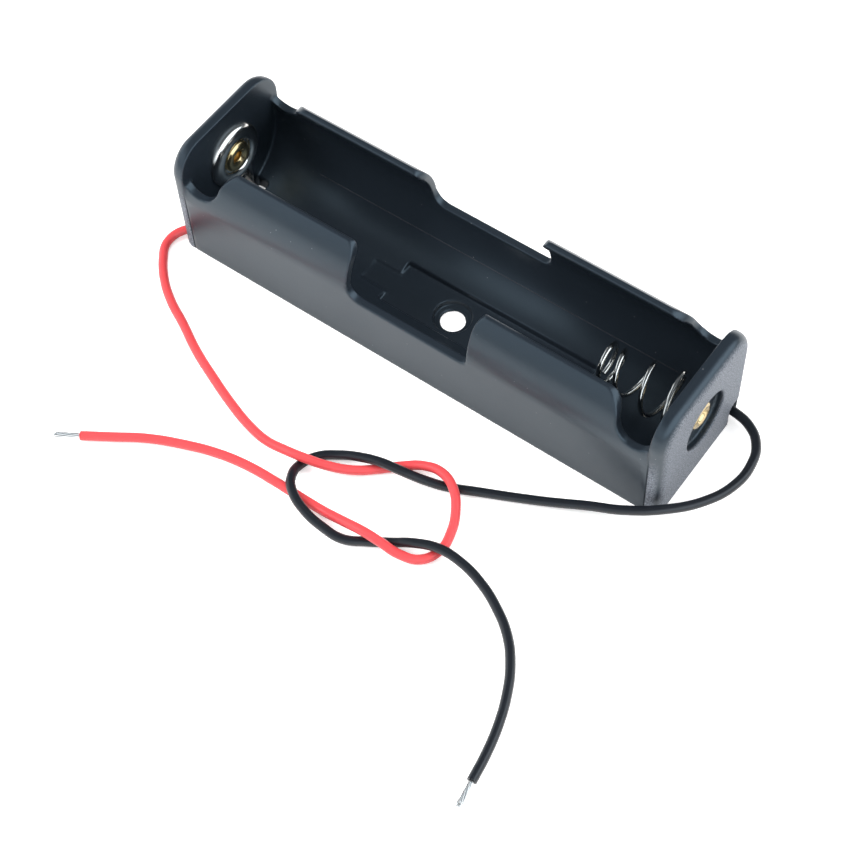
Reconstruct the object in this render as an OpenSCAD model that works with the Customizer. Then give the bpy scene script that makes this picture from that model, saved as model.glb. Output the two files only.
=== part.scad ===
// Open holder for one long cylindrical cell, moulded body with two curled walls.
// Two riveted contacts sit on the end walls: a flat plate at -X, a spring at +X.
// One flexible lead leaves each end at the foot of the end wall.
// X runs along the cell, Y across the walls, Z up, and the base lies on Z = 0.

/* [Body] */
// Overall length of the moulded body
length = 78.5; // [74:0.5:90]
// Overall width across the two side walls
width = 20.6; // [20:0.1:23]
// Thickness of the side walls and of the cradle
wall = 1.2; // [1:0.1:1.4]
// Thickness of the floor inside the cell outline
floor_thick = 1.3; // [1.2:0.1:1.8]
// Height of the lowest cradle line above that floor
cradle_rise = 0.1; // [0.05:0.05:0.4]
// Angle of the lip edge above the cell axis
lip_angle = 46; // [38:1:52]
// Slope of the narrow face on the lip edge
lip_slope = 27; // [5:1:40]
// Width of the narrow face on the lip edge
lip_face = 0.85; // [0.6:0.05:1]

/* [End walls] */
// Thickness of each end wall
end_wall = 2.3; // [1.9:0.1:3]
// Height of the end walls above the lips
end_rise = 1; // [0.4:0.1:2]
// Radius on the top corners of the end walls
end_corner_r = 4.5; // [4:0.1:6]
// Radius on the outer edges of the end walls
end_edge_r = 1.6; // [0.6:0.1:2]
// Diameter of the round recess in each outer end face
recess_d = 8.6; // [7:0.1:10]
// Depth of that recess
recess_depth = 1.2; // [0.6:0.1:1.3]
// Drop of the recess centre below the cell axis
recess_drop = 0.7; // [0:0.1:1.5]

/* [Finger notch] */
// Half length of the notch in the middle of each wall
notch_half = 9.6; // [7:0.1:12]
// Drop of the notch floor below the cell axis
notch_drop = 0.6; // [0:0.1:1.5]
// Radius in the bottom corner of the notch at its -X end
notch_r = 2.2; // [0.5:0.1:3]
// Radius in the bottom corner of the notch at its +X end
notch_tight_r = 1; // [0.5:0.1:2]
// Radius that opens the notch at the lips
lip_round = 2; // [0.5:0.1:3]

/* [Scallops] */
// Distance of the lowest point of the scallop from the end wall
scallop_in = 2.4; // [2:0.1:2.8]
// Height of the scallop bottom above the cell axis
scallop_rise = 2.1; // [1:0.1:2.5]
// Radius of the scallop bottom
scallop_r = 3; // [2.8:0.1:3.2]
// Radius that leads from the lip down into the scallop
scallop_round = 4; // [3:0.1:4.5]

/* [Floor] */
// Half width of the cell outline sunk in the cradle
outline_half = 3.7; // [3:0.1:4.2]
// X of the outline end with the small nub
outline_left = -10; // [-14:0.5:-6]
// X of the plain outline end
outline_right = 21; // [14:0.5:24]
// Half width of the nub
nub_half = 1.8; // [1:0.1:2.5]
// Length of the nub
nub_length = 4.4; // [2:0.1:6]
// Diameter of the screw hole in the floor
hole_d = 3.4; // [3:0.1:3.6]
// Diameter of the counterbore round the hole
counterbore_d = 5.4; // [4.6:0.1:6.5]
// Depth of the counterbore below the sunk floor
counterbore_depth = 0.85; // [0.5:0.05:0.95]

/* [Underside] */
// Half width of the flat band the body stands on
band_half = 4.5; // [4.4:0.1:5.5]
// Depth of the shallow pocket that takes the lead tail
pocket_depth = 0.8; // [0.7:0.05:0.9]
// Width of that pocket along X
pocket_w = 2.6; // [2.2:0.1:3.5]
// Distance of the contact window from the middle plane
window_y = 2.7; // [2.4:0.1:3]
// Width of the contact window along the cell
window_w = 2.1; // [1.9:0.1:2.4]
// Width of the contact window along the end wall
window_l = 2.85; // [2.5:0.05:3]
// Distance of the lead opening from the middle plane
lead_y = 8.3; // [7.8:0.1:8.4]
// Width of the arched lead opening
lead_gap_w = 2.5; // [2.2:0.1:2.8]
// Height of the arched lead opening
lead_gap_h = 3.8; // [2.8:0.1:4.2]

/* [Contacts] */
// Thickness of the contact plates
plate_thick = 0.4; // [0.3:0.05:0.5]
// Radius of the flat contact disc
plate_r = 4.7; // [4.2:0.1:5.2]
// Radius of the spring base disc
base_r = 5; // [4.9:0.1:5.4]
// Height of the ring pressed in the flat contact disc
ring_rise = 0.35; // [0.2:0.05:0.5]
// Width of the strip that leads down to the floor
strip_w = 1.7; // [1.2:0.1:1.8]
// Radius of the rivet barrels
rivet_r = 1.2; // [1:0.1:1.25]
// Radius of the rivet heads
rivet_head_r = 2.35; // [2.2:0.05:2.6]
// Radius of the spread rivet tails
rivet_tail_r = 2.15; // [1.9:0.05:2.4]
// Diameter of the spring wire
wire_d = 0.7; // [0.6:0.05:0.75]
// Free reach of the spring from the end wall
spring_reach = 13.2; // [11:0.1:14]

/* [Leads] */
// Outer diameter of the lead insulation
lead_d = 1.3; // [1:0.05:1.5]
// Diameter of the stranded conductor
core_d = 0.7; // [0.5:0.05:0.75]
// Length of each stripped end
tip_length = 3.6; // [2:0.1:6]

/* [Show] */
// Piece to draw, or all of them

/* [Hidden] */
$fn = 64;
eps = 0.01;
lip_lead = 0.1;
fit = 0.05;
outer_r = width / 2;
bay_r = outer_r - wall;
axis_z = floor_thick + cradle_rise + bay_r;
lip_z = axis_z + outer_r * sin(lip_angle);
lip_y = outer_r * cos(lip_angle);
height = lip_z + end_rise;
end_x = length / 2;
inner_x = end_x - end_wall;
recess_x = end_x - recess_depth;
notch_z = axis_z - notch_drop;
scallop_z = axis_z + scallop_rise;
scallop_x = inner_x - scallop_in;
flare_z = lip_z + lip_lead - scallop_round;
flare_drop = scallop_z + scallop_r - flare_z;
flare_far = scallop_r + scallop_round - 0.05;
flare_x = scallop_x - sqrt(flare_far * flare_far - flare_drop * flare_drop);
window_x = inner_x - window_w;
strip_y = -window_y - window_w / 2 + window_l - strip_w / 2 - fit;
strip_foot = 0.3;
plate_x = inner_x - plate_thick;
spring_x = plate_x - wire_d / 2;
ledge_z = floor_thick - counterbore_depth;
hole_r = hole_d / 2;
lead_r = lead_d / 2;

// Lead routes in plan for the sizes above: x, y, and lift off the surface in
// lead diameters. They stretch with the length and the width of the body.
red_route = [
  [-34.5, -8, 0.6], [-36.6, -8.05, 0.6], [-38.1, -8.2, 0.55], [-39.45, -8.75, 0.4],
  [-40.35, -9.75, 0.25], [-40.8, -11.1, 0.12], [-40.65, -12.6, 0.03], [-39.7, -14.2, 0],
  [-37.2, -17, 0], [-34, -19.4, 0],
  [-30, -21.5, 0], [-25.5, -24, 0], [-21, -26, 0], [-16, -28, 0],
  [-12, -29.3, 0.1], [-8.5, -30, 0.4], [-5.5, -30, 0.85], [-2.7, -29.7, 1.1],
  [0.3, -28.8, 0.8], [3.5, -27, 0.25], [6, -24.8, 0], [8.3, -22.8, 0.15],
  [11, -21.4, 0.65], [13.8, -21.3, 1.1], [16.2, -22.4, 0.95], [18, -24.5, 0.4],
  [19.2, -27.3, 0.05], [19.5, -30, 0], [18.3, -32.5, 0.05], [15.8, -33.7, 0.5],
  [13, -34, 1.15], [10.5, -34, 1.15], [7.3, -34, 0.65], [4, -34, 0.15],
  [0.3, -34, 0], [-4, -34, 0], [-8.5, -34.2, 0], [-13, -35, 0],
  [-17.5, -36.5, 0], [-22, -38.5, 0], [-26, -41, 0], [-29.5, -43.2, 0]];
black_route = [
  [34.5, 8, 0.6], [37, 8.3, 0.6], [39.5, 8.3, 0.6], [42, 7.5, 0.75],
  [44.3, 5.3, 1.15], [45.5, 2, 1.55], [45.4, -2, 1.75], [43.6, -6.2, 1.85],
  [40, -10.2, 1.85], [35.7, -12.9, 1.4], [31.5, -14.5, 0.8], [27, -16.5, 0.3],
  [22.5, -18.5, 0.05], [18.5, -20.3, 0], [15, -21.9, 0], [12, -23, 0.3],
  [9, -23.9, 0.85], [6.2, -24.5, 1.1], [3.3, -25.2, 0.75], [0.6, -26.2, 0.25],
  [-1.8, -27.9, 0], [-2.8, -30.2, 0.1], [-2.3, -32.5, 0.75], [-0.7, -34.4, 1.15],
  [2.3, -35.7, 0.8], [5.3, -36, 0.3], [8.3, -35.8, 0], [11, -34.4, 0],
  [13.7, -32.8, 0.15], [16.6, -31.5, 0.85], [19.7, -30.5, 1.1], [23, -30.3, 0.7],
  [26.5, -31, 0.25], [30, -32.6, 0], [33.3, -35, 0], [35.8, -38, 0],
  [37.7, -41.5, 0], [39.1, -45.3, 0], [40, -49, 0], [40.6, -52.9, 0]];

function placed(route) = [for (p = route)
  [p[0] * length / 78.5, p[1] * width / 20.6, lead_r + p[2] * lead_d]];
red_path = placed(red_route);
black_path = placed(black_route);

function unit(v) = v / norm(v);
function tangent(p, i) = unit(p[min(i + 1, len(p) - 1)] - p[max(i - 1, 0)]);
function side_of(t) = unit(cross([0, 0, 1], t));
function ring_at(c, t, r) = [for (k = [0:7])
  c + r / cos(22.5) * (cos(22.5 + 45 * k) * side_of(t)
  + sin(22.5 + 45 * k) * cross(t, side_of(t)))];

// Spring line: turns counted from the free end, axial gap from the base coil
// as a share of the reach, and radius of the wire centre.
coil_gap = [[-0.3, 1], [0, 0.99], [1, 0.88], [2, 0.545], [3, 0.215], [4, 0], [6.5, 0]];
coil_r = [[-0.3, 2.95], [0, 2.95], [1, 2.8], [2, 3.2], [3, 4.1], [4, 4.4],
          [5, 3.1], [5.6, 1.65], [6.5, 1.65]];
coil_steps = 16;
coil_start = -5;
coil_end = 103;
coil_reach = spring_reach - (inner_x - spring_x) - wire_d / 2;

function coil_ring(i) =
  let (turn = i / coil_steps, a = 90 - 360 * turn,
       r = lookup(turn, coil_r), x = spring_x - coil_reach * lookup(turn, coil_gap))
  [for (k = [0:7])
    let (rr = r + wire_d / 2 / cos(22.5) * cos(22.5 + 45 * k))
    [x + wire_d / 2 / cos(22.5) * sin(22.5 + 45 * k),
     rr * cos(a), axis_z + rr * sin(a)]];

module skin(rings, flip = false) {
  n = len(rings);
  pts = [for (g = rings) for (p = g) p];
  walls = [for (i = [0:n - 2]) for (k = [0:7])
    let (a = i * 8 + k, b = i * 8 + (k + 1) % 8)
    each [[a, a + 8, b + 8], [a, b + 8, b]]];
  caps = [[for (k = [0:7]) k], [for (k = [7:-1:0]) (n - 1) * 8 + k]];
  all_faces = concat(walls, caps);
  turned = [for (f = all_faces) [for (j = [len(f) - 1:-1:0]) f[j]]];
  polyhedron(points = pts, faces = flip ? turned : all_faces);
}

module tube(path, r) {
  skin([for (i = [0:len(path) - 1]) ring_at(path[i], tangent(path, i), r)]);
}

module along_x(x0, x1) {
  translate([x0, 0, 0])
    rotate([90, 0, 90])
      linear_extrude(height = x1 - x0)
        children();
}

module along_y(y0, y1) {
  translate([0, y1, 0])
    rotate([90, 0, 0])
      linear_extrude(height = y1 - y0)
        children();
}

module at_end(x) {
  translate([x, 0, axis_z])
    rotate([0, -90, 0])
      children();
}

module wall_section() {
  translate([-outer_r, 0])
    square([width, axis_z]);
  translate([0, axis_z])
    circle(r = outer_r);
}

module end_section(inset) {
  r = end_corner_r - inset;
  w = outer_r - end_corner_r;
  translate([-outer_r + inset, 0])
    square([width - 2 * inset, height - end_corner_r]);
  translate([-w, 0])
    square([2 * w, height - inset]);
  for (s = [-1, 1])
    translate([s * w, height - end_corner_r])
      circle(r = r);
}

module edge_corner() {
  rotate([90, 0, 90])
    rotate_extrude(angle = 90)
      translate([end_corner_r - end_edge_r, 0])
        circle(r = end_edge_r);
}

module end_block() {
  corner_y = outer_r - end_corner_r;
  corner_z = height - end_corner_r;
  round_x = end_x - end_edge_r;
  intersection() {
    translate([inner_x, -width, -1])
      cube([end_wall + 1, 2 * width, height + 2]);
    union() {
      along_x(inner_x, end_x)
        end_section(end_edge_r);
      along_x(inner_x - 1, round_x)
        end_section(0);
      for (s = [-1, 1])
        translate([round_x, s * (outer_r - end_edge_r), 0])
          cylinder(r = end_edge_r, h = corner_z);
      translate([round_x, corner_y, height - end_edge_r])
        rotate([90, 0, 0])
          cylinder(r = end_edge_r, h = 2 * corner_y);
      translate([round_x, corner_y, corner_z])
        edge_corner();
      translate([round_x, -corner_y, corner_z])
        mirror([0, 1, 0])
          edge_corner();
    }
  }
}

module lip_opening() {
  out_y = lip_y + 6 * cos(lip_slope);
  out_z = lip_z + 6 * sin(lip_slope);
  in_y = lip_y - lip_face * cos(lip_slope);
  in_z = lip_z - lip_face * sin(lip_slope);
  low_y = in_y + 1.5;
  low_z = in_z - 4;
  polygon([[low_y, low_z], [in_y, in_z], [out_y, out_z], [out_y, lip_z + 20],
           [-out_y, lip_z + 20], [-out_y, out_z], [-in_y, in_z], [-low_y, low_z]]);
}

module opening_round(x, r) {
  translate([x, lip_z - r + lip_lead])
    difference() {
      translate([-1, 0])
        square([r + 1, r + 5]);
      translate([r, 0])
        circle(r = r);
    }
}

module notch_shape() {
  translate([-notch_half, notch_z + notch_r])
    square([notch_half + 1, height]);
  translate([-1, notch_z + notch_tight_r])
    square([notch_half + 1, height]);
  translate([-notch_half + notch_r, notch_z])
    square([2 * notch_half - notch_r - notch_tight_r, height]);
  translate([-notch_half + notch_r, notch_z + notch_r])
    circle(r = notch_r);
  translate([notch_half - notch_tight_r, notch_z + notch_tight_r])
    circle(r = notch_tight_r);
}

module notch_rounds() {
  along_y(-width, width)
    opening_round(notch_half, lip_round);
  along_y(-width, width)
    mirror([1, 0])
      opening_round(notch_half, lip_round);
}

module scallop_shape() {
  translate([scallop_x - scallop_r, scallop_z + scallop_r])
    square([scallop_r + scallop_in + 1, height]);
  translate([scallop_x, scallop_z + scallop_r])
    circle(r = scallop_r);
}

module scallop_flare() {
  difference() {
    translate([flare_x, flare_z + scallop_round * flare_drop / flare_far])
      square([scallop_x - flare_x, height]);
    translate([flare_x, flare_z])
      circle(r = scallop_round);
  }
}

module scallop_rounds() {
  along_y(-width, width)
    scallop_flare();
  along_y(-width, width)
    mirror([1, 0])
      scallop_flare();
}

module channel_shape() {
  difference() {
    translate([band_half, -1])
      square([bay_r - band_half, axis_z]);
    translate([0, axis_z])
      circle(r = outer_r);
  }
}

module arch_shape() {
  r = lead_gap_w / 2;
  translate([lead_y - r, -1])
    square([lead_gap_w, lead_gap_h - r + 1]);
  translate([lead_y, lead_gap_h - r])
    circle(r = r);
}

module end_cuts() {
  along_x(inner_x - eps, end_x + 1)
    arch_shape();
  translate([recess_x, 0, axis_z - recess_drop])
    rotate([0, 90, 0])
      cylinder(d = recess_d, h = recess_depth + 1);
  translate([inner_x - 1, 0, axis_z])
    rotate([0, 90, 0])
      cylinder(r = rivet_r + fit, h = end_wall + 2);
  translate([window_x, -window_y - window_w / 2, -1])
    cube([window_w, window_l, floor_thick + 3]);
  translate([inner_x - pocket_w, -window_y - window_w / 2, -1])
    cube([pocket_w, window_y + window_w / 2 + bay_r, pocket_depth + 1]);
}

module trough_section() {
  difference() {
    wall_section();
    translate([0, axis_z])
      circle(r = bay_r);
    lip_opening();
    channel_shape();
    mirror([1, 0])
      channel_shape();
  }
}

module scallops() {
  along_y(-width, width)
    scallop_shape();
  along_y(-width, width)
    mirror([1, 0])
      scallop_shape();
}

module trough() {
  difference() {
    difference() {
      difference() {
        difference() {
          along_x(-inner_x, inner_x)
            trough_section();
          along_y(-width, width)
            notch_shape();
        }
        notch_rounds();
      }
      scallops();
    }
    scallop_rounds();
  }
}

module floor_cuts() {
  translate([outline_left, -outline_half, floor_thick])
    cube([outline_right - outline_left, 2 * outline_half, 3]);
  translate([outline_left - nub_length, -nub_half, floor_thick])
    cube([nub_length + eps, 2 * nub_half, 3]);
  translate([0, 0, -1])
    cylinder(r = hole_r, h = 3);
  translate([0, 0, ledge_z / 2])
    cylinder(r1 = hole_r, r2 = hole_r + 0.4, h = ledge_z / 2 + eps);
  translate([0, 0, ledge_z])
    cylinder(d = counterbore_d, h = 3);
}

module holder_body() {
  color([0.09, 0.1, 0.12])
    difference() {
      union() {
        trough();
        end_block();
        rotate([0, 0, 180])
          end_block();
      }
      end_cuts();
      rotate([0, 0, 180])
        end_cuts();
      floor_cuts();
    }
}

module strip() {
  translate([plate_x, strip_y - strip_w / 2, strip_foot])
    cube([plate_thick, strip_w, axis_z - strip_foot - rivet_r - 1]);
}

module positive_plate() {
  color([0.8, 0.8, 0.78])
    rotate([0, 0, 180])
      union() {
        at_end(inner_x)
          rotate_extrude()
            polygon([[rivet_r + fit, 0], [plate_r, 0], [plate_r, plate_thick],
                     [plate_r - 0.8, plate_thick],
                     [plate_r - 1.2, plate_thick + ring_rise],
                     [plate_r - 1.7, plate_thick + ring_rise],
                     [plate_r - 2.1, plate_thick],
                     [rivet_r + fit, plate_thick]]);
        strip();
      }
}

module negative_plate() {
  color([0.8, 0.8, 0.78])
    union() {
      at_end(inner_x)
        rotate_extrude()
          polygon([[rivet_r + fit, 0], [base_r, 0], [base_r, plate_thick],
                   [rivet_r + fit, plate_thick]]);
      strip();
    }
}

module rivet(seat) {
  back = recess_x - inner_x;
  hole = rivet_r - 0.4;
  at_end(inner_x)
    rotate_extrude()
      polygon([[hole, seat + 0.3], [hole + 0.6, seat + 0.7],
               [rivet_head_r - 0.35, seat + 0.7], [rivet_head_r, seat + 0.35],
               [rivet_head_r, seat], [rivet_r, seat], [rivet_r, -back],
               [rivet_tail_r, -back], [rivet_tail_r, -back - 0.2],
               [rivet_tail_r - 0.25, -back - 0.6], [rivet_tail_r - 0.7, -back - 0.75],
               [hole + 0.25, -back - 0.6], [hole, -back - 0.2]]);
}

module positive_rivet() {
  color([0.76, 0.6, 0.3])
    rotate([0, 0, 180])
      rivet(plate_thick);
}

module negative_rivet() {
  color([0.76, 0.6, 0.3])
    rivet(plate_thick + wire_d);
}

module contact_spring() {
  color([0.82, 0.82, 0.8])
    skin([for (i = [coil_start:coil_end]) coil_ring(i)]);
}

module tip(path) {
  n = len(path) - 1;
  d = path[n] - path[n - 1];
  translate(path[n])
    rotate([0, 90, atan2(d[1], d[0])])
      cylinder(d = core_d, h = tip_length, $fn = 24);
}

module tail(path, s) {
  x = s * (inner_x - pocket_w / 2);
  tube([path[0], [path[0][0] - s * 0.6, s * (lead_y - 1.6), path[0][2] - 0.35],
        [x, s * 5, core_d / 2 + 0.05], [x, s * 1, core_d / 2 + 0.05],
        [s * (plate_x - 0.5), s * (strip_y + 0.4), core_d / 2 + 0.05]], core_d / 2);
  translate([s * plate_x, s * strip_y, 0.55])
    rotate([0, -90 * s, 0])
      cylinder(r1 = 0.5, r2 = 0.35, h = 0.9, $fn = 24);
}

module red_lead() {
  color([0.85, 0.15, 0.15])
    tube(red_path, lead_r);
}

module black_lead() {
  color([0.08, 0.08, 0.09])
    tube(black_path, lead_r);
}

module red_tip() {
  color([0.8, 0.8, 0.8])
    tip(red_path);
}

module black_tip() {
  color([0.8, 0.8, 0.8])
    tip(black_path);
}

module red_tail() {
  color([0.8, 0.8, 0.8])
    tail(red_path, -1);
}

module black_tail() {
  color([0.8, 0.8, 0.8])
    tail(black_path, 1);
}

holder_body();
positive_plate();
positive_rivet();
negative_plate();
negative_rivet();
contact_spring();
red_lead();
red_tip();
red_tail();
black_lead();
black_tip();
black_tail();
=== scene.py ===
"""Looks of an open holder for a long cylindrical cell, with two contacts and two leads.

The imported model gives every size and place. This file makes the moulded, plated and
insulated surfaces over it, the soft edges, the wound spring and the leads as they lie.
"""

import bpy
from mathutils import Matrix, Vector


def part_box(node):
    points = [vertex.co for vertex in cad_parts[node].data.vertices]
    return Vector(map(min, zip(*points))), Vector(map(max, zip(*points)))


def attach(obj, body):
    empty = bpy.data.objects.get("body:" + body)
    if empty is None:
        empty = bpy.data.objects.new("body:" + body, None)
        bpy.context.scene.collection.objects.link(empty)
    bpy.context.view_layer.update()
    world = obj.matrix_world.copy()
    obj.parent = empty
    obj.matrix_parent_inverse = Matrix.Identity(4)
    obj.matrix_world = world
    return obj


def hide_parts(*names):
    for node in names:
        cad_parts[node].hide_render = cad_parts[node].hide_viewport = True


bl_info = {
    "name": "Cylindrical Cell Holder",
    "version": (1, 0, 0),
    "blender": (4, 5, 0),
    "location": "View3D > Sidebar > Cell Holder",
    "description": "Builds a moulded cell holder with its contacts and leads",
    "category": "Object",
}

import math

import bmesh
import bpy
from bpy.props import FloatProperty, FloatVectorProperty, IntProperty, PointerProperty
from mathutils import Matrix, Vector

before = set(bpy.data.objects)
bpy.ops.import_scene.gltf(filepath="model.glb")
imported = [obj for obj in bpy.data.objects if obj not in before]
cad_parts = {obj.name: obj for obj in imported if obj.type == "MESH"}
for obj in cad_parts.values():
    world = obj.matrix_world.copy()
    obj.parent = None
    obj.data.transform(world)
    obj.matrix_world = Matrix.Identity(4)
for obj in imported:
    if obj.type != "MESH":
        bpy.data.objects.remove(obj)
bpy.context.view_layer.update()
BODY_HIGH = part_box("holder_body")[1]
SPRING_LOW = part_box("contact_spring")[0]
PLATE_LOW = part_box("negative_plate")[0]
MM = 0.001

# The round walls of the body about the cell's axis.
AXIS_Z = 0.0105
OUTER_WALL = 0.0103
INNER_WALL = 0.0091
# The seam groove where each textured end block starts: how far it lies from the end and
# in from the side, its top, half width and depth.
END_BLOCK = 0.0021
SEAM_SKIN = 0.0001
SEAM_TOP = 0.0112
SEAM_HALF = 0.00025
SEAM_DEPTH = 0.0001
# The parting ridge along the bay: its angle about the axis, the x of its points, and radius.
RIDGE_ANGLE = math.radians(-37)
RIDGE_STOPS = (-0.028, 0, 0.031)
RIDGE_RADIUS = 0.00006
# The dome stamped in the positive plate: radii of its rim, crown and inner drop, and rise.
DOME_RIM, DOME_CROWN, DOME_DROP, DOME_RISE = 0.00485, 0.00335, 0.0026, 0.001
# The stripped ends: reach, radius and twist of the bundle, and how far its strands open.
STRIPPED, BUNDLE_RADIUS, TWIST, SPREAD = 0.0036, 0.00035, 2.6, 0.5

# Lead routes in millimetres: x, y, and lift off the surface in lead diameters.
LEAD_RADIUS = 0.65
RED_ROUTE = [
    (-34.5, -8, 0.6), (-36.6, -8.05, 0.6), (-38.1, -8.2, 0.55), (-39.45, -8.75, 0.4),
    (-40.35, -9.75, 0.25), (-40.8, -11.1, 0.12), (-40.65, -12.6, 0.03), (-39.7, -14.2, 0),
    (-37.2, -17, 0), (-34, -19.4, 0),
    (-30, -21.5, 0), (-25.5, -24, 0), (-21, -26, 0), (-16, -28, 0),
    (-12, -29.3, 0.1), (-8.5, -30, 0.4), (-5.5, -30, 0.85), (-2.7, -29.7, 1.1),
    (0.3, -28.8, 0.8), (3.5, -27, 0.25), (6, -24.8, 0), (8.3, -22.8, 0.15),
    (11, -21.4, 0.65), (13.8, -21.3, 1.1), (16.2, -22.4, 0.95), (18, -24.5, 0.4),
    (19.2, -27.3, 0.05), (19.5, -30, 0), (18.3, -32.5, 0.05), (15.8, -33.7, 0.5),
    (13, -34, 1.15), (10.5, -34, 1.15), (7.3, -34, 0.65), (4, -34, 0.15),
    (0.3, -34, 0), (-4, -34, 0), (-8.5, -34.2, 0), (-13, -35, 0),
    (-17.5, -36.5, 0), (-22, -38.5, 0), (-26, -41, 0), (-29.5, -43.2, 0),
]
BLACK_ROUTE = [
    (34.5, 8, 0.6), (37, 8.3, 0.6), (39.5, 8.3, 0.6), (42, 7.5, 0.75),
    (44.3, 5.3, 1.15), (45.5, 2, 1.55), (45.4, -2, 1.75), (43.6, -6.2, 1.85),
    (40, -10.2, 1.85), (35.7, -12.9, 1.4), (31.5, -14.5, 0.8), (27, -16.5, 0.3),
    (22.5, -18.5, 0.05), (18.5, -20.3, 0), (15, -21.9, 0), (12, -23, 0.3),
    (9, -23.9, 0.85), (6.2, -24.5, 1.1), (3.3, -25.2, 0.75), (0.6, -26.2, 0.25),
    (-1.8, -27.9, 0), (-2.8, -30.2, 0.1), (-2.3, -32.5, 0.75), (-0.7, -34.4, 1.15),
    (2.3, -35.7, 0.8), (5.3, -36, 0.3), (8.3, -35.8, 0), (11, -34.4, 0),
    (13.7, -32.8, 0.15), (16.6, -31.5, 0.85), (19.7, -30.5, 1.1), (23, -30.3, 0.7),
    (26.5, -31, 0.25), (30, -32.6, 0), (33.3, -35, 0), (35.8, -38, 0),
    (37.7, -41.5, 0), (39.1, -45.3, 0), (40, -49, 0), (40.6, -52.9, 0),
]

# Spring line, counted in turns from the free end: share of the reach left, and radius in
# millimetres. Each turn has the same number of knots.
COIL_GAP = [(-0.5, 1), (-0.18, 0.992), (0.82, 0.867), (1.82, 0.523), (2.82, 0.186), (3.5, 0),
            (6, 0)]
COIL_RADIUS = [(-0.5, 2.75), (-0.18, 2.74), (0.82, 2.6), (1.82, 3), (2.82, 3.8), (3.5, 4.2),
               (4.5, 3.1), (5.1, 1.65), (6, 1.65)]
COIL_KNOTS = 20

# Camera: place, lens in millimetres, and its azimuth, elevation and roll in degrees.
CAMERA_PLACE = (0.09314, -0.12126, 0.21463)
CAMERA_LENS = 81.71
CAMERA_TURNS = (39.308, 57.543, -3.877)

# Bright sheets in reflections, each bounded along axes: axis, where dark, where bright.
FRONT_SHEET = (("Z", 0.0, 0.2), ("Z", 0.85, 0.6), ("Y", 0.1, -0.45))
RIGHT_SHEET = (("X", 0.3, 0.5), ("Z", 0.1, 0.3))
LEFT_SHEET = (("X", -0.8, -0.95), ("Z", 0.1, 0.3))
# What the side sheets add in mirrors, and what the floor adds for the eye.
SIDE_GLOW = 1.3
FLOOR_GLOW = 0.45
# Lamps: name, place, size and power.
LAMPS = (("left softbox", (-0.4, -0.35, 0.45), 0.35, 4.0),
         ("right softbox", (0.5, 0.3, 0.4), 0.3, 2.5),
         ("top softbox", (-0.05, 0.1, 0.7), 0.3, 2.0))


class CellHolderSizes(bpy.types.PropertyGroup):
    """Sizes of the finish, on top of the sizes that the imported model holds."""

    edge_round: FloatProperty(
        name="Edge Rounding", description="Radius of the moulded edges",
        default=0.0002, min=0.0001, max=0.0006, unit="LENGTH", subtype="DISTANCE")
    plate_round: FloatProperty(
        name="Plate Edge Rounding", description="Radius of the stamped edges",
        default=0.00008, min=0, max=0.0002, unit="LENGTH", subtype="DISTANCE")
    wire_diameter: FloatProperty(
        name="Spring Wire", description="Diameter of the spring wire",
        default=0.0007, min=0.0004, max=0.001, unit="LENGTH", subtype="DISTANCE")
    lead_diameter: FloatProperty(
        name="Lead Diameter", description="Outer diameter of the insulation",
        default=2 * LEAD_RADIUS * MM, min=0.0008, max=0.002, unit="LENGTH", subtype="DISTANCE")
    strand_count: IntProperty(
        name="Strands", description="Strands in each stripped end",
        default=7, min=3, max=12)


class CellHolderColours(bpy.types.PropertyGroup):
    """Colours of the mouldings, metals and leads."""

    body: FloatVectorProperty(
        name="Body", description="Black moulding", subtype="COLOR",
        default=(0.0115, 0.016, 0.022), min=0, max=1)
    red: FloatVectorProperty(
        name="Red Lead", description="Red insulation", subtype="COLOR",
        default=(0.66, 0.06, 0.067), min=0, max=1)
    black: FloatVectorProperty(
        name="Black Lead", description="Black insulation", subtype="COLOR",
        default=(0.009, 0.011, 0.015), min=0, max=1)
    nickel: FloatVectorProperty(
        name="Nickel", description="Plated contacts and spring", subtype="COLOR",
        default=(0.82, 0.8, 0.76), min=0, max=1)
    brass: FloatVectorProperty(
        name="Brass", description="Rivets", subtype="COLOR",
        default=(0.7, 0.55, 0.3), min=0, max=1)


# ---------------------------------------------------------------- shader nodes

def fill(tree, socket, value):
    """Links an output to a socket, or sets the socket to a plain value."""
    if isinstance(value, bpy.types.NodeSocket):
        tree.links.new(value, socket)
    else:
        socket.default_value = value


def node(tree, kind, **values):
    """Adds a node and sets attributes, or input sockets by their name."""
    made = tree.nodes.new(kind)
    for key, value in values.items():
        if hasattr(made, key):
            setattr(made, key, value)
        else:
            fill(tree, made.inputs[key.replace("_", " ")], value)
    return made


def combined(tree, operation, *values, clamp=False):
    """A math node's result on outputs or plain numbers."""
    made = node(tree, "ShaderNodeMath", operation=operation, use_clamp=clamp)
    for socket, value in zip(made.inputs, values):
        fill(tree, socket, value)
    return made.outputs[0]


def ramp_between(tree, value, low, high, curve="LINEAR"):
    """0 at the low value and before it, 1 at the high one and past it."""
    return node(tree, "ShaderNodeMapRange", interpolation_type=curve, Value=value,
                From_Min=low, From_Max=high).outputs[0]


def spread_between(tree, value, low, high):
    """A value from 0 to 1, spread between the low and the high one."""
    return node(tree, "ShaderNodeMapRange", Value=value, To_Min=low, To_Max=high).outputs[0]


def mixed(tree, kind, factor, first, second):
    """A mix of two numbers, colours or outputs."""
    made = node(tree, "ShaderNodeMix", data_type=kind)
    first_slot, second_slot, result = (2, 3, 0) if kind == "FLOAT" else (6, 7, 2)
    tree.links.new(factor, made.inputs[0])
    fill(tree, made.inputs[first_slot], first)
    fill(tree, made.inputs[second_slot], second)
    return made.outputs[result]


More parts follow.
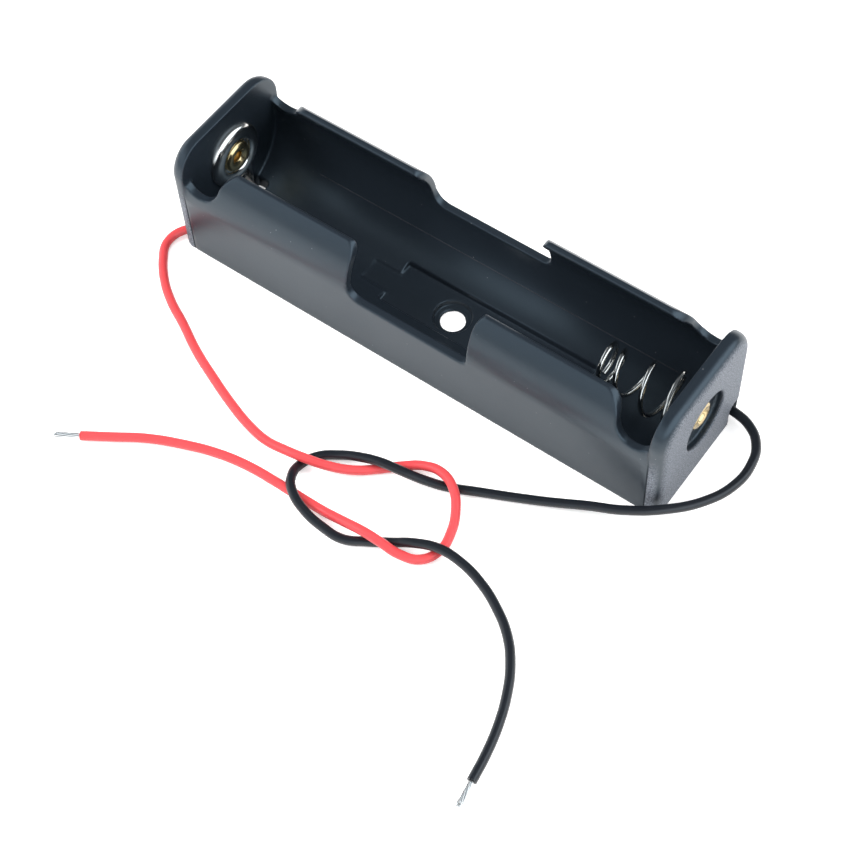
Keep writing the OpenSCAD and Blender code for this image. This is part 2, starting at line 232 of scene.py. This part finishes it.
def noise_at(tree, vector, scale, detail=2.0, roughness=0.5):
    """A noise pattern at a place."""
    return node(tree, "ShaderNodeTexNoise", Vector=vector, Scale=scale, Detail=detail,
                Roughness=roughness).outputs["Fac"]


def object_place(tree):
    """The place on the piece."""
    return node(tree, "ShaderNodeTexCoord").outputs["Object"]


def add_bump(tree, shader, height, strength, distance):
    """Gives a shader its fine relief."""
    bump = node(tree, "ShaderNodeBump", Height=height, Strength=strength, Distance=distance)
    tree.links.new(bump.outputs[0], shader.inputs["Normal"])


def new_group(name, inputs, outputs):
    """Returns a shader node group with the named sockets."""
    group = bpy.data.node_groups.new(name, "ShaderNodeTree")
    for label, default in inputs:
        socket = group.interface.new_socket(label, in_out="INPUT", socket_type="NodeSocketFloat")
        socket.default_value = default
    for label in outputs:
        group.interface.new_socket(label, in_out="OUTPUT", socket_type="NodeSocketFloat")
    return group


# ------------------------------------------------------------------- materials

def mould_texture_group():
    """Height and roughness of a moulded face: fine spark grain, slow waves, small scuffs."""
    name = "Moulded Surface"
    if name in bpy.data.node_groups:
        return bpy.data.node_groups[name]
    group = new_group(
        name,
        [("Grain Scale", 9000.0), ("Grain Height", 0.1), ("Wave Height", 0.1),
         ("Scuffs", 0.3), ("Roughness", 0.3)],
        ["Height", "Roughness", "Dust"])
    entry = group.nodes.new("NodeGroupInput").outputs
    leave = group.nodes.new("NodeGroupOutput").inputs
    place = object_place(group)
    grain = noise_at(group, place, entry["Grain Scale"], 2.0, 0.6)
    wave = noise_at(group, place, 160.0, 1.0, 0.4)
    grain_height = combined(group, "MULTIPLY", grain, entry["Grain Height"])
    height = combined(group, "MULTIPLY_ADD", wave, entry["Wave Height"], grain_height)
    group.links.new(height, leave["Height"])
    # Long thin rub marks along the body, where cells slide in and out.
    stretch = node(group, "ShaderNodeMapping", Vector=place, Scale=(90, 900, 900),
                   Rotation=(0, 0, 0.12))
    marks = noise_at(group, stretch.outputs[0], 3.0, 3.0, 0.7)
    scuff = combined(group, "MULTIPLY", ramp_between(group, marks, 0.56, 0.72), entry["Scuffs"])
    base = combined(group, "ADD", entry["Roughness"], spread_between(group, wave, -0.05, 0.05))
    rough = combined(group, "MULTIPLY_ADD", scuff, 0.25, base, clamp=True)
    group.links.new(rough, leave["Roughness"])
    # A few small specks of dust.
    specks = node(group, "ShaderNodeTexVoronoi", Scale=520.0, Vector=place)
    dust = ramp_between(group, specks.outputs["Distance"], 0.045, 0.03)
    group.links.new(dust, leave["Dust"])
    return group


def new_material(name):
    """Returns a node material, its tree and its Principled shader."""
    material = bpy.data.materials.new(name)
    material.use_nodes = True
    tree = material.node_tree
    return material, tree, tree.nodes["Principled BSDF"]


def moulded_surface(tree, **values):
    """The outputs of the moulded surface group with its own values."""
    return node(tree, "ShaderNodeGroup", node_tree=mould_texture_group(), **values).outputs


def moulded_plastic(name, colour, end_x, side_y, seam_x):
    """Black moulding: smooth satin walls, and fine spark texture on the flats of the ends, which
    are painted grey there as a painted sheen.
    """
    material, tree, shader = new_material(name)
    split = node(tree, "ShaderNodeSeparateXYZ", Vector=object_place(tree)).outputs
    reach = combined(tree, "ABSOLUTE", split["X"])
    aside = combined(tree, "ABSOLUTE", split["Y"])
    # The texture covers the end faces, and the flanks of the end blocks up to mid height.
    low = ramp_between(tree, split["Z"], 0.013, 0.009)
    face = ramp_between(tree, reach, end_x - 0.0005, end_x - 0.00005)
    flank = combined(tree, "MULTIPLY", ramp_between(tree, reach, seam_x, seam_x + 0.0002),
                     ramp_between(tree, aside, side_y - 0.0004, side_y - 0.00005))
    textured = combined(tree, "MAXIMUM", face, combined(tree, "MULTIPLY", flank, low))
    smooth = moulded_surface(tree, Grain_Height=0.04, Roughness=0.31, Scuffs=0.1)
    matte = moulded_surface(tree, Grain_Scale=5200.0, Grain_Height=2.0, Roughness=0.5)
    height = mixed(tree, "FLOAT", textured, smooth["Height"], matte["Height"])
    add_bump(tree, shader, height, 0.5, 0.00004)
    # Painted sheen: the textured ends are painted grey, far lighter than the black moulding, for
    # the broad light their grain reflects; the grain varies this grey at random.
    grain = mixed(tree, "RGBA", ramp_between(tree, matte["Height"], 0.85, 1.3),
                  (0.055, 0.062, 0.078, 1), (0.2, 0.212, 0.24, 1))
    base = mixed(tree, "RGBA", textured, (*colour, 1), grain)
    rough = mixed(tree, "FLOAT", textured, smooth["Roughness"], matte["Roughness"])
    # Painted shade: the seam groove is painted near black inside, and it is dull there.
    seam_shade_band = combined(tree, "MULTIPLY",
                         ramp_between(tree, reach, seam_x - 0.00015, seam_x - 0.00005),
                         ramp_between(tree, reach, seam_x + 0.00015, seam_x + 0.00005))
    seam = combined(tree, "MULTIPLY", combined(tree, "MULTIPLY", seam_shade_band, low),
                    ramp_between(tree, aside, side_y - 0.0006, side_y - 0.0003))
    base = mixed(tree, "RGBA", seam, base, (0.001, 0.001, 0.0015, 1))
    rough = mixed(tree, "FLOAT", seam, rough, combined(tree, "ADD", matte["Roughness"], 0.4))
    # Dust shows as pale flecks.
    fleck = combined(tree, "MULTIPLY", smooth["Dust"], 0.5)
    base = mixed(tree, "RGBA", fleck, base, (0.25, 0.26, 0.28, 1))
    tree.links.new(base, shader.inputs["Base Color"])
    tree.links.new(rough, shader.inputs["Roughness"])
    shader.inputs["IOR"].default_value = 1.6
    shader.inputs["Specular Tint"].default_value = (0.7, 0.87, 1, 1)
    return material


def painted_flash_highlight(name):
    """The thin flash along a parting line, painted a little paler than the wall as a painted
    highlight.
    """
    material, tree, shader = new_material(name)
    tone = mixed(tree, "RGBA", noise_at(tree, object_place(tree), 300.0),
                 (0.012, 0.015, 0.02, 1), (0.045, 0.05, 0.06, 1))
    tree.links.new(tone, shader.inputs["Base Color"])
    shader.inputs["Roughness"].default_value = 0.4
    return material


def plated_metal(name, colour, roughness, scratch):
    """Bright metal with fine drawing lines and a slow variation in its gloss."""
    material, tree, shader = new_material(name)
    lines = noise_at(tree, object_place(tree), scratch, 3.0, 0.7)
    rough = spread_between(tree, lines, roughness * 0.7, roughness * 1.5)
    tone = mixed(tree, "RGBA", lines, (*[c * 0.86 for c in colour], 1), (*colour, 1))
    tree.links.new(rough, shader.inputs["Roughness"])
    tree.links.new(tone, shader.inputs["Base Color"])
    add_bump(tree, shader, lines, 0.25, 0.00002)
    shader.inputs["Metallic"].default_value = 1.0
    return material


def soft_insulation(name, colour, roughness):
    """Soft vinyl insulation: satin, slightly uneven along the wire."""
    material, tree, shader = new_material(name)
    surface = moulded_surface(tree, Grain_Scale=4200.0, Grain_Height=0.25, Wave_Height=0.6,
                              Roughness=roughness)
    tree.links.new(surface["Roughness"], shader.inputs["Roughness"])
    add_bump(tree, shader, surface["Height"], 0.35, 0.00003)
    tone = mixed(tree, "RGBA", noise_at(tree, object_place(tree), 420.0),
                 (*[c * 0.88 for c in colour], 1), (*[min(1, c * 1.06) for c in colour], 1))
    tree.links.new(tone, shader.inputs["Base Color"])
    return material


def pale_floor(name):
    """A pale floor that the eye sees a little brighter than its light makes it."""
    material, tree, shader = new_material(name)
    shader.inputs["Base Color"].default_value = (0.93, 0.93, 0.93, 1)
    shader.inputs["Roughness"].default_value = 0.9
    shader.inputs["Emission Color"].default_value = (1, 1, 1, 1)
    path = node(tree, "ShaderNodeLightPath")
    glow = combined(tree, "MULTIPLY", path.outputs["Is Camera Ray"], FLOOR_GLOW)
    tree.links.new(glow, shader.inputs["Emission Strength"])
    return material


def studio_room(name):
    """White to the eye, even for soft light, and a dim room with bright sheets in mirrors."""
    world = bpy.data.worlds.new(name)
    world.use_nodes = True
    tree = world.node_tree
    back = tree.nodes["Background"]
    path = node(tree, "ShaderNodeLightPath").outputs
    place = node(tree, "ShaderNodeTexCoord").outputs["Generated"]
    split = node(tree, "ShaderNodeSeparateXYZ", Vector=place).outputs
    levels = []
    for sheet in (FRONT_SHEET, RIGHT_SHEET, LEFT_SHEET):
        level = None
        for axis, dark, bright in sheet:
            ramp = ramp_between(tree, split[axis], dark, bright, "SMOOTHSTEP")
            level = ramp if level is None else combined(tree, "MULTIPLY", level, ramp)
        levels.append(level)
    front, right, left = levels
    sides = combined(tree, "MAXIMUM", right, left)
    side_light = combined(tree, "MULTIPLY", sides, path["Is Glossy Ray"])
    strength = combined(tree, "MULTIPLY_ADD", side_light, SIDE_GLOW, 1)
    tree.links.new(strength, back.inputs["Strength"])
    mirror = mixed(tree, "RGBA", combined(tree, "MAXIMUM", front, sides),
                   (0.1, 0.112, 0.125, 1), (0.9, 1.0, 1.08, 1))
    soft = mixed(tree, "RGBA", path["Is Glossy Ray"], (0.85, 0.85, 0.85, 1), mirror)
    seen = mixed(tree, "RGBA", path["Is Camera Ray"], soft, (1, 1, 1, 1))
    tree.links.new(seen, back.inputs["Color"])
    return world


# ------------------------------------------------------------------- shapes

def link_piece(name, mesh, material):
    """Puts a finished mesh in the scene as a piece of the one body."""
    piece = bpy.data.objects.new(name, mesh)
    bpy.context.scene.collection.objects.link(piece)
    mesh.materials.clear()
    mesh.materials.append(material)
    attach(piece, "root")
    return piece


def merged_copy(cad_node):
    """A CAD node's mesh and a bmesh of it whose loose triangles are joined."""
    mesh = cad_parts[cad_node].data.copy()
    bm = bmesh.new()
    bm.from_mesh(mesh)
    bmesh.ops.remove_doubles(bm, verts=bm.verts, dist=2e-6)
    return mesh, bm


def close_up(bm, mesh):
    """Writes a bmesh to a mesh and frees it."""
    bm.to_mesh(mesh)
    bm.free()
    return mesh


def evaluated_mesh(holder):
    """The mesh that an object's modifiers or curve settings make."""
    graph = bpy.context.evaluated_depsgraph_get()
    return bpy.data.meshes.new_from_object(holder.evaluated_get(graph))


def softened_mesh(cad_node, name, width, segments, sharp):
    """Copies a CAD node's mesh and rounds its edges that are sharper than an angle."""
    mesh, bm = merged_copy(cad_node)
    mesh.name = name
    bmesh.ops.dissolve_limit(
        bm, angle_limit=0.01, use_dissolve_boundaries=False,
        verts=bm.verts, edges=bm.edges, delimit=set())
    edges = [e for e in bm.edges if e.is_manifold and e.calc_face_angle(0) > sharp]
    if width > 0:
        bmesh.ops.bevel(
            bm, geom=edges, offset=width, offset_type="OFFSET", segments=segments,
            profile=0.5, affect="EDGES", clamp_overlap=False, material=-1)
    return close_up(bm, mesh)


def snap_to_walls(bm, walls, near):
    """Moves vertices near a round wall onto it, above the height where the wall is round."""
    for vert in bm.verts:
        y, z = vert.co.y, vert.co.z - AXIS_Z
        r = math.hypot(y, z)
        for wall, lowest in walls:
            if abs(r - wall) < near and z > lowest:
                vert.co.y *= wall / r
                vert.co.z = AXIS_Z + z * wall / r


def cut_seams(bm, seam):
    """Presses a shallow groove into both side walls at the seam's x, below its z."""
    for vert in bm.verts:
        gap = abs(abs(vert.co.x) - seam.x)
        if abs(vert.co.y) > seam.y and vert.co.z < seam.z and gap < SEAM_HALF:
            vert.co.y -= math.copysign(SEAM_DEPTH * (1 - gap / SEAM_HALF), vert.co.y)


def moulded_mesh(cad_node, name, voxel, rounds, seam, most_faces):
    """Copies a CAD node as one fine even skin with softly rounded edges.

    The skin is snapped to the true round walls, smoothed so that its edges turn round,
    cut by the seam grooves, and thinned."""
    mesh, bm = merged_copy(cad_node)
    stand = bpy.data.objects.new(name + "_stand", close_up(bm, mesh))
    bpy.context.scene.collection.objects.link(stand)
    remesh = stand.modifiers.new("skin", "REMESH")
    remesh.mode, remesh.voxel_size, remesh.adaptivity = "VOXEL", voxel, 0
    skin = evaluated_mesh(stand)
    bm = bmesh.new()
    bm.from_mesh(skin)
    # The outer wall is round only above the axis, and the inner wall all the way.
    snap_to_walls(bm, ((OUTER_WALL, 0), (INNER_WALL, -1)), voxel * 0.35)
    for _ in range(rounds):
        bmesh.ops.smooth_vert(bm, verts=bm.verts, factor=0.5,
                              use_axis_x=True, use_axis_y=True, use_axis_z=True)
    cut_seams(bm, seam)
    close_up(bm, skin)
    stand.modifiers.clear()
    stand.data = skin
    thin = stand.modifiers.new("thin", "DECIMATE")
    thin.ratio = min(1, most_faces / (2 * len(skin.polygons)))
    made = evaluated_mesh(stand)
    made.name = name
    bpy.data.objects.remove(stand)
    made.shade_smooth()
    return made


def smooth_by_angle(mesh, angle):
    """Smooth shading, kept sharp where two faces meet at more than the angle."""
    mesh.shade_smooth()
    bm = bmesh.new()
    bm.from_mesh(mesh)
    for edge in bm.edges:
        edge.smooth = edge.calc_face_angle(0) < angle
    return close_up(bm, mesh)


def plate_dome(name, wall_x, axis_z):
    """The stamped dome of the positive plate: a round outer shoulder and a steep inner drop."""
    shoulder = [(DOME_CROWN + (DOME_RIM - DOME_CROWN) * math.cos(a), DOME_RISE * math.sin(a))
                for a in (math.radians(7.5 * i) for i in range(13))]
    drop = [(DOME_CROWN + (DOME_DROP - DOME_CROWN) * math.sin(a),
             0.35 * DOME_RISE + 0.65 * DOME_RISE * math.cos(a))
            for a in (math.radians(15 * i) for i in range(1, 7))]
    bm = bmesh.new()
    profile = [bm.verts.new((wall_x + h, r, axis_z))
               for r, h in shoulder + drop + [(DOME_DROP, 0)]]
    edges = [bm.edges.new(pair) for pair in zip(profile, profile[1:] + profile[:1])]
    bmesh.ops.spin(bm, geom=profile + edges, cent=(0, 0, axis_z), axis=(1, 0, 0),
                   dvec=(0, 0, 0), angle=2 * math.pi, steps=96, use_merge=True,
                   use_duplicate=False)
    bmesh.ops.remove_doubles(bm, verts=bm.verts, dist=1e-7)
    bmesh.ops.recalc_face_normals(bm, faces=bm.faces)
    return smooth_by_angle(close_up(bm, bpy.data.meshes.new(name)), 0.7)


def at_turn(table, turn):
    """Value of a (turn, value) table at a turn, by straight lines between its rows."""
    for (t0, v0), (t1, v1) in zip(table, table[1:]):
        if turn <= t1:
            return v0 + (v1 - v0) * (turn - t0) / (t1 - t0)
    return table[-1][1]


def wire_curve(name, points, radius, roundness):
    """A round wire along a smooth line through the points."""
    curve = bpy.data.curves.new(name, "CURVE")
    curve.dimensions = "3D"
    curve.resolution_u = 8
    curve.bevel_depth = radius
    curve.bevel_resolution = roundness
    curve.use_fill_caps = True
    spline = curve.splines.new("BEZIER")
    spline.bezier_points.add(len(points) - 1)
    for knot, point in zip(spline.bezier_points, points):
        knot.co = point
        knot.handle_left_type = knot.handle_right_type = "AUTO"
    return curve


def wire_mesh(name, points, radius, roundness):
    """A round wire along a smooth line, as a mesh."""
    curve = wire_curve(name + "_line", points, radius, roundness)
    curve.resolution_u = 3
    holder = bpy.data.objects.new(name + "_line", curve)
    bpy.context.scene.collection.objects.link(holder)
    mesh = evaluated_mesh(holder)
    bpy.data.objects.remove(holder)
    mesh.name = name
    mesh.shade_smooth()
    return mesh


def route_points(route):
    """A lead's route in metres."""
    return [Vector((x, y, LEAD_RADIUS * (1 + 2 * lift))) * MM for x, y, lift in route]


def strand_mesh(name, start, direction, count):
    """Twisted tinned strands that open a little towards their cut end."""
    along = direction.normalized()
    side = along.cross(Vector((0, 0, 1))).normalized()
    up = side.cross(along)
    facing = along.to_track_quat("Z", "Y").to_matrix().to_4x4()
    bm = bmesh.new()
    thin = BUNDLE_RADIUS * 0.36
    steps = 12
    for s in range(count):
        off_centre = 0 if s == 0 else BUNDLE_RADIUS - thin
        phase = 2 * math.pi * s / (count - 1)
        rings = []
        for i in range(steps + 1):
            t = i / steps
            turn = phase + TWIST * t
            open_out = off_centre * (1 + SPREAD * t * t * (0.4 + 0.6 * math.sin(s * 2.1) ** 2))
            centre = start + along * (STRIPPED * t * (1 - 0.06 * (s % 3)))
            centre = centre + (side * math.cos(turn) + up * math.sin(turn)) * open_out
            centre.z = max(centre.z, thin * 1.05)
            made = bmesh.ops.create_circle(bm, cap_ends=False, segments=8, radius=thin,
                                           matrix=Matrix.Translation(centre) @ facing)
            rings.append(made["verts"])
        for lower, upper in zip(rings, rings[1:]):
            bmesh.ops.bridge_loops(bm, edges=ring_edges(bm, lower) + ring_edges(bm, upper))
        for cap in (rings[0], rings[-1]):
            bmesh.ops.contextual_create(bm, geom=ring_edges(bm, cap))
    bmesh.ops.recalc_face_normals(bm, faces=bm.faces)
    mesh = close_up(bm, bpy.data.meshes.new(name))
    mesh.shade_smooth()
    return mesh


def ring_edges(bm, ring):
    """The edges between the vertices of a ring."""
    return [e for e in bm.edges if all(v in ring for v in e.verts)]


def rivet_height(rivet):
    """The height of a rivet's axis."""
    low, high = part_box(rivet)
    return (low.z + high.z) / 2


# ---------------------------------------------------------------- operators

class CELLHOLDER_OT_camera(bpy.types.Operator):
    """Sets the camera over the front long side, looking down at the holder"""

    bl_idname = "cell_holder.camera"
    bl_label = "Camera"

    def execute(self, context):
        azimuth, elevation, roll = (math.radians(turn) for turn in CAMERA_TURNS)
        ahead = Vector((-math.sin(azimuth) * math.cos(elevation),
                        math.cos(azimuth) * math.cos(elevation), -math.sin(elevation)))
        right = Vector((math.cos(azimuth), math.sin(azimuth), 0))
        up = right.cross(ahead)
        turned_right = right * math.cos(roll) + up * math.sin(roll)
        turned_up = up * math.cos(roll) - right * math.sin(roll)
        data = bpy.data.cameras.new("camera")
        data.lens, data.sensor_width = CAMERA_LENS, 36
        data.clip_start, data.clip_end = 0.01, 10
        camera = bpy.data.objects.new("camera", data)
        camera.matrix_world = Matrix.Translation(CAMERA_PLACE) @ Matrix(
            (turned_right, turned_up, -ahead)).transposed().to_4x4()
        context.scene.collection.objects.link(camera)
        context.scene.camera = camera
        return {"FINISHED"}


class CELLHOLDER_OT_leads(bpy.types.Operator):
    """Lays the two insulated leads and their stripped ends"""

    bl_idname = "cell_holder.leads"
    bl_label = "Leads"

    def execute(self, context):
        sizes, colours = context.scene.cell_holder_sizes, context.scene.cell_holder_colours
        tinned = plated_metal("tinned strands", (0.92, 0.92, 0.91), 0.4, 5000.0)
        # The route's point where each lead leaves the body's end face is its exit.
        for word, route, leaves, colour, rough in (
                ("red", RED_ROUTE, 3, colours.red, 0.32),
                ("black", BLACK_ROUTE, 2, colours.black, 0.3)):
            points = route_points(route)
            curve = wire_curve(word + "_insulation", points, sizes.lead_diameter / 2, 5)
            lead = bpy.data.objects.new(word + "_insulation", curve)
            context.scene.collection.objects.link(lead)
            curve.materials.append(soft_insulation(word + " insulation", colour, rough))
            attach(lead, "root")
            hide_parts(word + "_lead")
            mesh = strand_mesh(word + "_strands", points[-1], points[-1] - points[-2],
                               sizes.strand_count)
            strands = link_piece(word + "_strands", mesh, tinned)
            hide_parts(word + "_tip")
            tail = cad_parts[word + "_tail"]
            tail.data.materials.clear()
            tail.data.materials.append(tinned)
        return {"FINISHED"}


class CELLHOLDER_OT_body(bpy.types.Operator):
    """Gives the moulded body soft edges and its black plastic"""

    bl_idname = "cell_holder.body"
    bl_label = "Moulded Body"

    def execute(self, context):
        sizes, colours = context.scene.cell_holder_sizes, context.scene.cell_holder_colours
        seam = Vector((BODY_HIGH.x - END_BLOCK, BODY_HIGH.y - SEAM_SKIN, SEAM_TOP))
        mesh = moulded_mesh("holder_body", "moulded_body", voxel=sizes.edge_round * 0.8,
                            rounds=6, seam=seam, most_faces=180000)
        plastic = moulded_plastic("black moulding", colours.body, BODY_HIGH.x, BODY_HIGH.y,
                                  seam.x)
        body = link_piece("moulded_body", mesh, plastic)
        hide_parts("holder_body")
        ridge = [Vector((x, INNER_WALL * math.cos(RIDGE_ANGLE),
                         AXIS_Z + INNER_WALL * math.sin(RIDGE_ANGLE))) for x in RIDGE_STOPS]
        link_piece("parting_ridge", wire_mesh("parting_ridge", ridge, RIDGE_RADIUS, 1),
                   painted_flash_highlight("parting flash"))
        return {"FINISHED"}


class CELLHOLDER_OT_contacts(bpy.types.Operator):
    """Finishes the stamped contact plates and the brass rivets"""

    bl_idname = "cell_holder.contacts"
    bl_label = "Contact Plates and Rivets"

    def execute(self, context):
        sizes, colours = context.scene.cell_holder_sizes, context.scene.cell_holder_colours
        nickel = plated_metal("nickel plate", colours.nickel, 0.16, 2600.0)
        brass = plated_metal("bright brass", colours.brass, 0.2, 3000.0)
        for part, material, slot in (("plate", nickel, "contact"), ("rivet", brass, "rivet")):
            for pole in ("positive", "negative"):
                cad_node = pole + "_" + part
                mesh = softened_mesh(cad_node, cad_node + "_finish", sizes.plate_round,
                                     segments=2, sharp=0.5)
                piece = link_piece(cad_node + "_finish", smooth_by_angle(mesh, 0.7),
                                   material)
                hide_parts(cad_node)
        dome = plate_dome("positive_plate_dome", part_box("positive_plate")[0].x,
                          rivet_height("positive_rivet"))
        link_piece("positive_plate_dome", dome, nickel)
        return {"FINISHED"}


class CELLHOLDER_OT_spring(bpy.types.Operator):
    """Winds the spring contact from round wire"""

    bl_idname = "cell_holder.spring"
    bl_label = "Spring Contact"

    def execute(self, context):
        sizes, colours = context.scene.cell_holder_sizes, context.scene.cell_holder_colours
        radius = sizes.wire_diameter / 2
        axis_z = rivet_height("negative_rivet")
        seat = PLATE_LOW.x - radius
        reach = seat - (SPRING_LOW.x + radius)
        first, last = (round(COIL_GAP[end][0] * COIL_KNOTS) for end in (0, -1))
        points = []
        for i in range(first, last + 1):
            turn = i / COIL_KNOTS
            r = at_turn(COIL_RADIUS, turn) * MM
            angle = math.pi / 2 + 2 * math.pi * turn
            points.append(Vector((seat - reach * at_turn(COIL_GAP, turn),
                                  r * math.cos(angle), axis_z + r * math.sin(angle))))
        piece = link_piece("coil_spring", wire_mesh("coil_spring", points, radius, 6),
                           plated_metal("spring wire", colours.nickel, 0.13, 1800.0))
        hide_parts("contact_spring")
        return {"FINISHED"}


class CELLHOLDER_OT_stage(bpy.types.Operator):
    """Adds the pale floor, the soft lamps and the white surroundings"""

    bl_idname = "cell_holder.stage"
    bl_label = "Stage"

    def execute(self, context):
        bm = bmesh.new()
        bmesh.ops.create_grid(bm, x_segments=1, y_segments=1, size=3.0)
        mesh = close_up(bm, bpy.data.meshes.new("floor"))
        mesh.materials.append(pale_floor("pale floor"))
        floor = bpy.data.objects.new("floor", mesh)
        context.scene.collection.objects.link(floor)
        # Just under the base, so that the two faces don't share a plane.
        floor.location.z = -0.00002
        context.scene.world = studio_room("studio room")
        for name, place, size, power in LAMPS:
            lamp = bpy.data.lights.new(name, "AREA")
            lamp.size, lamp.energy = size, power
            light = bpy.data.objects.new(name, lamp)
            light.location = place
            light.visible_glossy = False
            light.rotation_euler = (-Vector(place)).to_track_quat("-Z", "Y").to_euler()
            context.scene.collection.objects.link(light)
        context.scene.view_settings.view_transform = "Standard"
        return {"FINISHED"}


class CELLHOLDER_PT_panel(bpy.types.Panel):
    """Sizes, colours and build steps of the cell holder"""

    bl_idname = "CELLHOLDER_PT_panel"
    bl_label = "Cell Holder"
    bl_space_type = "VIEW_3D"
    bl_region_type = "UI"
    bl_category = "Cell Holder"

    def draw(self, context):
        for group in (context.scene.cell_holder_sizes, context.scene.cell_holder_colours):
            for key in group.bl_rna.properties.keys():
                if key not in ("rna_type", "name"):
                    self.layout.prop(group, key)
        for step in STEPS:
            self.layout.operator(step.bl_idname)


STEPS = (CELLHOLDER_OT_camera, CELLHOLDER_OT_leads, CELLHOLDER_OT_body,
         CELLHOLDER_OT_contacts, CELLHOLDER_OT_spring, CELLHOLDER_OT_stage)
CLASSES = (CellHolderSizes, CellHolderColours, *STEPS, CELLHOLDER_PT_panel)


def register():
    for cls in CLASSES:
        bpy.utils.register_class(cls)
    bpy.types.Scene.cell_holder_sizes = PointerProperty(type=CellHolderSizes)
    bpy.types.Scene.cell_holder_colours = PointerProperty(type=CellHolderColours)


def unregister():
    del bpy.types.Scene.cell_holder_colours
    del bpy.types.Scene.cell_holder_sizes
    for cls in reversed(CLASSES):
        bpy.utils.unregister_class(cls)


def main():
    register()
    for step in STEPS:
        family, name = step.bl_idname.split(".")
        getattr(getattr(bpy.ops, family), name)()


if __name__ == "__main__":
    main()
